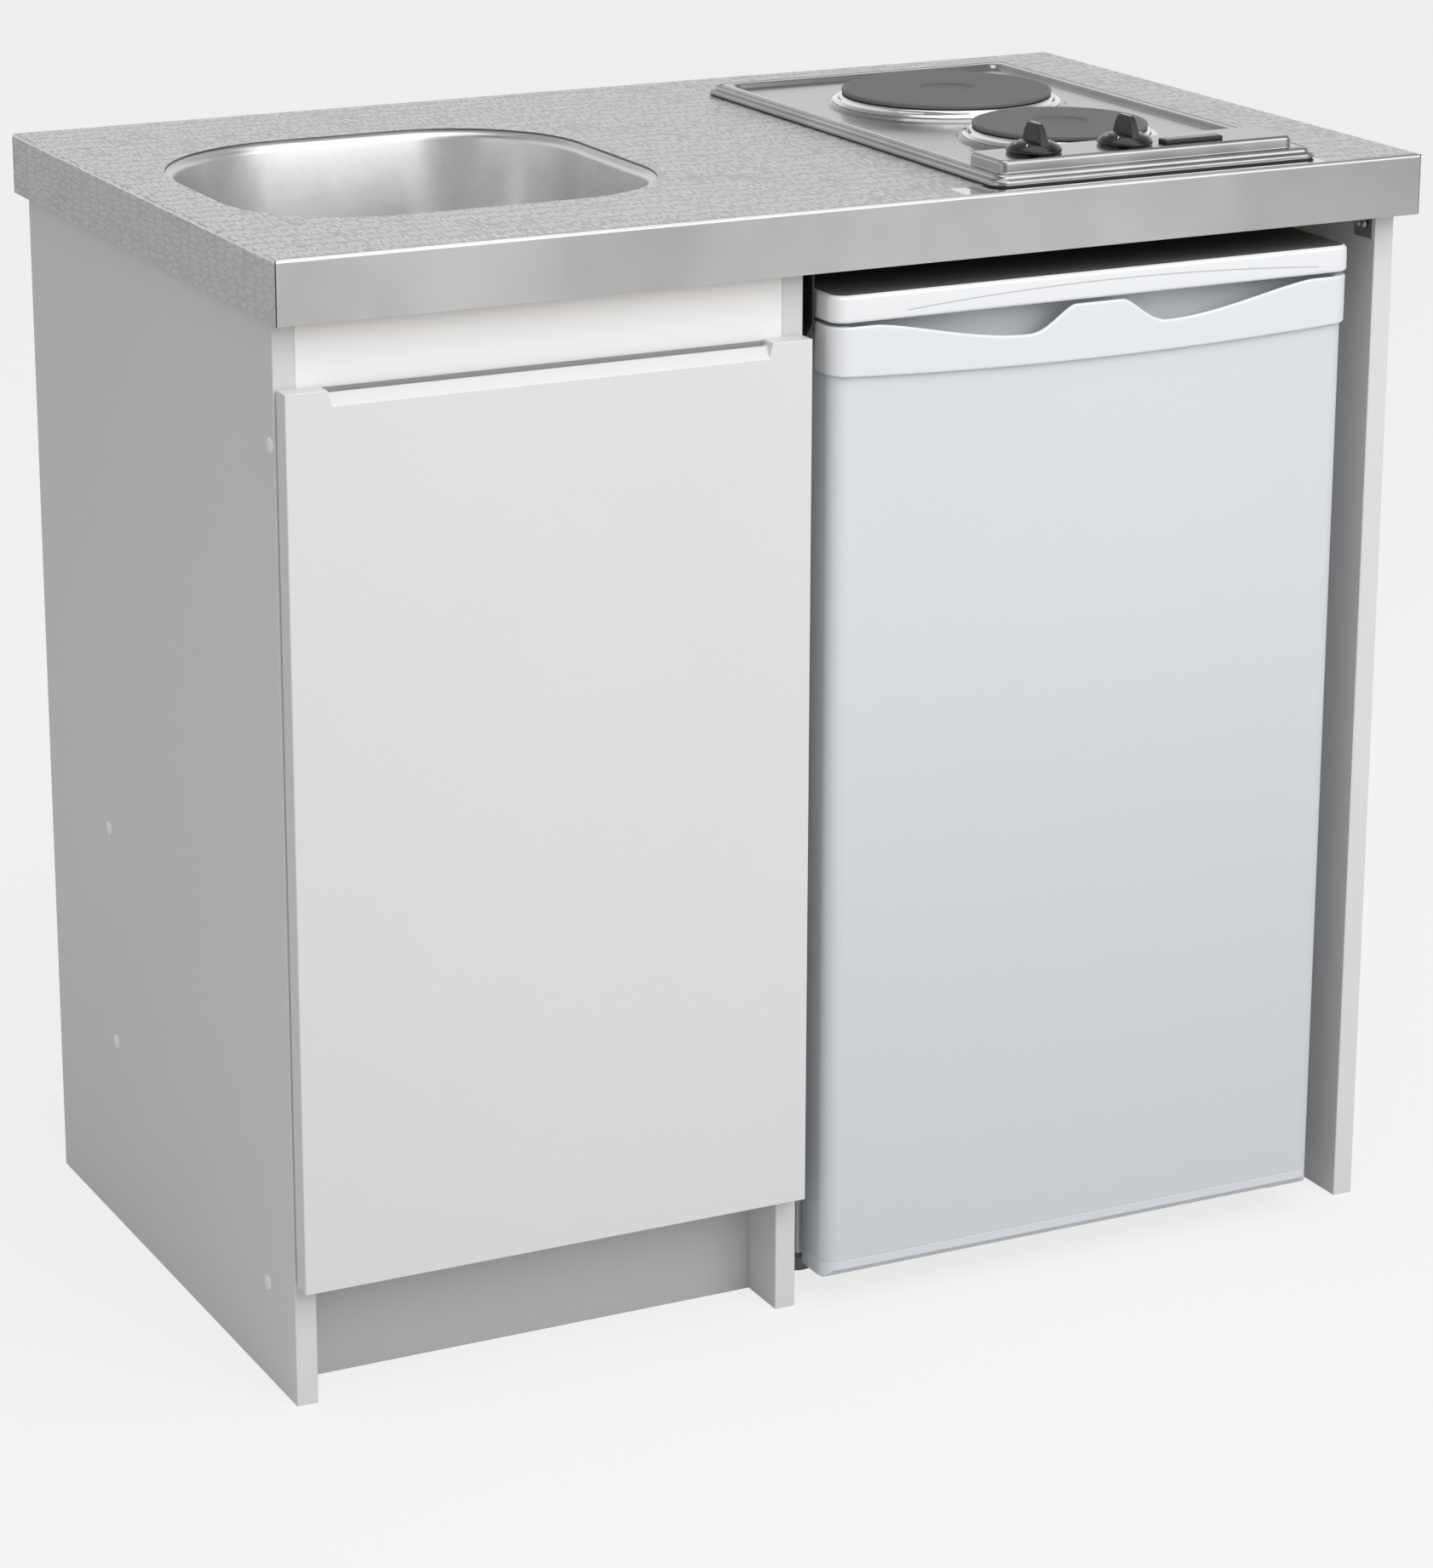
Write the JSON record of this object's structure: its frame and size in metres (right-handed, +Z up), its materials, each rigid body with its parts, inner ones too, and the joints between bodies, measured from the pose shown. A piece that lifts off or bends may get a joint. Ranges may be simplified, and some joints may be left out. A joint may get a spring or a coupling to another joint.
{
  "type": "kitchenette unit with sink and hob",
  "caption": "Compact kitchenette: stainless worktop with pressed basin and two-plate electric hob over a one-door sink cupboard and an under-counter refrigerator.",
  "frame": {"origin": "on the floor under the middle of the unit's bounding box", "axes": "+X to the right along the front, +Y towards the wall behind, +Z up; the doors face -Y"},
  "size_m": [1, 0.6, 0.9628],
  "materials": {
    "satin_steel": "satin stainless sheet, leather-grain embossed on the worktop",
    "bright_steel": "polished stainless pressing",
    "cast_iron": "matt sealed cast plate",
    "black_plastic": "glossy black moulding",
    "white_board": "white melamine-faced chipboard",
    "door_lacquer": "white lacquered board, satin",
    "raw_board": "raw chipboard",
    "fridge_white": "white lacquered skin over light foam",
    "liner_white": "thermoformed white liner",
    "zinc_steel": "zinc-plated steel",
    "black_steel": "black stoved paint",
    "grey_rubber": "grey soft moulding",
    "white_pipe": "white moulded pipe",
    "aluminium": "plain rolled sheet",
    "shelf_glass": "toughened clear glass"
  },
  "bodies": {
    "unit": {"worktop_skin": "satin_steel", "worktop_core": "raw_board", "sink_basin": "satin_steel", "strainer_flange": "bright_steel", "waste_nut": "white_pipe", "trap_body": "white_pipe", "trap_outlet": "white_pipe", "hob_top": "bright_steel", "hob_seal": "black_plastic", "hob_housing": "zinc_steel", "plate_small": "cast_iron", "plate_small_trim": "bright_steel", "plate_large": "cast_iron", "plate_large_trim": "bright_steel", "switch_left": "black_plastic", "switch_right": "black_plastic", "side_panel_left": "white_board", "side_panel_middle": "white_board", "side_panel_right": "white_board", "base_panel": "white_board", "back_panel": "white_board", "front_rail": "white_board", "rear_rail": "white_board", "niche_rear_rail": "white_board", "plinth_board": "white_board", "bracket_middle": "black_steel", "bracket_right": "zinc_steel", "hinge_arm_lower": "zinc_steel", "hinge_arm_upper": "zinc_steel", "fridge_cabinet": "fridge_white", "fridge_top_cap": "fridge_white", "fridge_hinge_top": "zinc_steel", "fridge_hinge_bottom": "zinc_steel", "ice_box": "aluminium", "fridge_shelf_upper": "shelf_glass", "fridge_shelf_lower": "shelf_glass", "thermostat_housing": "liner_white", "compressor_tray": "zinc_steel", "compressor": "black_steel", "condenser": "black_steel", "fridge_foot_left": "grey_rubber", "fridge_foot_right": "grey_rubber"},
    "cupboard_door": {"door_panel": "door_lacquer", "hinge_cup_lower": "zinc_steel", "hinge_cup_upper": "zinc_steel"},
    "fridge_door": {"fridge_door": "fridge_white", "fridge_door_sill": "fridge_white", "fridge_handle_band": "fridge_white", "fridge_gasket": "grey_rubber", "fridge_rack_lower": "liner_white", "fridge_rack_upper": "liner_white"},
    "knob_left": {"knob_left": "black_plastic"},
    "knob_right": {"knob_right": "black_plastic"},
    "strainer": {"strainer_basket": "bright_steel"},
    "ice_flap": {"ice_flap": "liner_white"},
    "thermostat_knob": {"thermostat_knob": "liner_white"}
  },
  "joints": [
    {"name": "cupboard_door_hinge", "type": "hinge", "parent": "unit", "child": "cupboard_door", "pos_m": [-0.4925, -0.276, 0.46], "axis": [0, 0, -1], "range_deg": [0, 110]},
    {"name": "fridge_door_hinge", "type": "hinge", "parent": "unit", "child": "fridge_door", "pos_m": [0.424, -0.276, 0.42], "axis": [0, 0, 1], "range_deg": [0, 120]},
    {"name": "left_knob_turn", "type": "hinge", "parent": "unit", "child": "knob_left", "pos_m": [0.166, -0.247, 0.95], "axis": [0, 0, -1], "continuous": true},
    {"name": "right_knob_turn", "type": "hinge", "parent": "unit", "child": "knob_right", "pos_m": [0.25, -0.247, 0.95], "axis": [0, 0, -1], "continuous": true},
    {"name": "strainer_lift", "type": "slide", "parent": "unit", "child": "strainer", "axis": [0, 0, 1], "range_m": [0, 0.06]},
    {"name": "ice_flap_swing", "type": "hinge", "parent": "unit", "child": "ice_flap", "pos_m": [0.199, -0.108, 0.777], "axis": [-1, 0, 0], "range_deg": [0, 85]},
    {"name": "thermostat_turn", "type": "hinge", "parent": "unit", "child": "thermostat_knob", "pos_m": [0.38085, -0.1215, 0.658], "axis": [0, 1, 0], "range_deg": [0, 270]}
  ]
}
